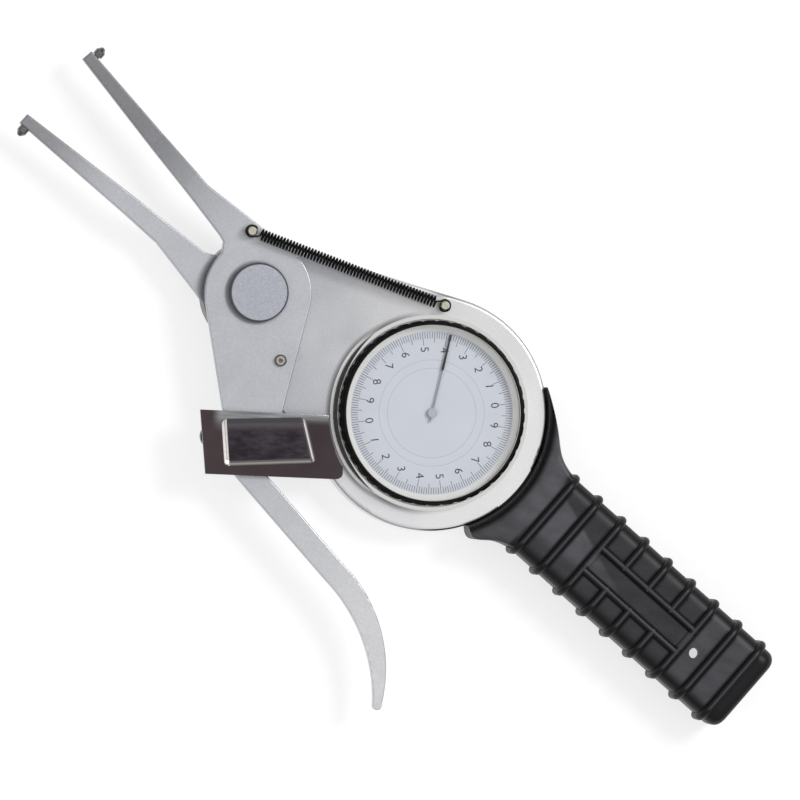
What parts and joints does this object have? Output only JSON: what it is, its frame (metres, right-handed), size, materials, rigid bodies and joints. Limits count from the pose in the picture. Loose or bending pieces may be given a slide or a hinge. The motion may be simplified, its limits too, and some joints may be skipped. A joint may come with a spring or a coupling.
{
  "type": "inside dial caliper",
  "caption": "Hand-held dial caliper for bores and grooves: a ribbed handle, a dial case with a fixed leg, and a trigger-worked swinging arm whose sector turns the pointer.",
  "frame": {"origin": "on the dial axis, on the back face that the tool lies on", "axes": "+X from the handle to the contacts, +Y to the trigger side, +Z out of the dial"},
  "size_m": [0.2967, 0.1211, 0.0201],
  "materials": {
    "cast_frame": "satin, fine blasted",
    "cover_metal": "satin",
    "arm_steel": "satin nickel plated",
    "cap_steel": "fine turned satin",
    "contact_steel": "dark hardened, polished",
    "screw_steel": "turned",
    "post_metal": "nickel plated",
    "spring_black": "blackened",
    "plate_gloss": "mirror gloss",
    "grip_black": "semi-gloss",
    "brass": "machined",
    "hairspring_bronze": "drawn",
    "arbor_steel": "turned",
    "pointer_black": "matte",
    "bezel_black": "semi-gloss",
    "retainer_wire": "drawn",
    "crystal_clear": "clear",
    "gasket_rubber": "matte",
    "flange_cream": "satin",
    "dial_white": "matte white print ground"
  },
  "bodies": {
    "frame": {"frame_body": "cast_frame", "fixed_contact": "contact_steel", "back_cover": "cover_metal", "cover_screws": "screw_steel", "pivot_axle": "cap_steel", "pivot_washer": "cap_steel", "pivot_nut": "cap_steel", "name_plate": "plate_gloss", "plate_pillars": "screw_steel", "grip_front": "grip_black", "grip_rear": "grip_black", "grip_screws": "screw_steel", "spring_post_frame": "post_metal", "return_spring": "spring_black", "front_bush": "brass", "rear_bush": "brass", "movement_bridge": "brass", "bridge_pillars": "brass", "bridge_screws": "screw_steel", "hairspring_stud": "screw_steel", "hairspring": "hairspring_bronze", "bezel_retainer": "retainer_wire"},
    "arm": {"measuring_arm": "arm_steel", "arm_contact": "contact_steel", "spring_post_arm": "post_metal", "drive_screw": "screw_steel", "sector_gear": "brass"},
    "pointer_set": {"pointer": "pointer_black", "pointer_arbor": "arbor_steel"},
    "bezel": {"bezel_ring": "bezel_black", "crystal_gasket": "gasket_rubber", "crystal": "crystal_clear", "dial_flange": "flange_cream", "dial_face": "dial_white", "dial_clamp_ring": "bezel_black"}
  },
  "joints": [
    {"name": "arm_swing", "type": "hinge", "parent": "frame", "child": "arm", "pos_m": [0.0674, 0.0083, 0.012], "axis": [0, 0, 1], "range_deg": [0, 15.15], "stiffness_Nm_per_rad": 0.02, "springref_deg": -91.67, "deforming": ["return_spring"]},
    {"name": "pointer_turn", "type": "hinge", "parent": "frame", "child": "pointer_set", "pos_m": [0, 0, 0.0155], "axis": [0, 0, 1], "range_deg": [-434, 0], "deforming": ["hairspring"]},
    {"name": "bezel_turn", "type": "hinge", "parent": "frame", "child": "bezel", "pos_m": [0, 0, 0.0155], "axis": [0, 0, 1], "continuous": true}
  ],
  "couplings": [
    {"joint": "pointer_turn", "follows": "arm_swing", "ratio": -28.6}
  ]
}
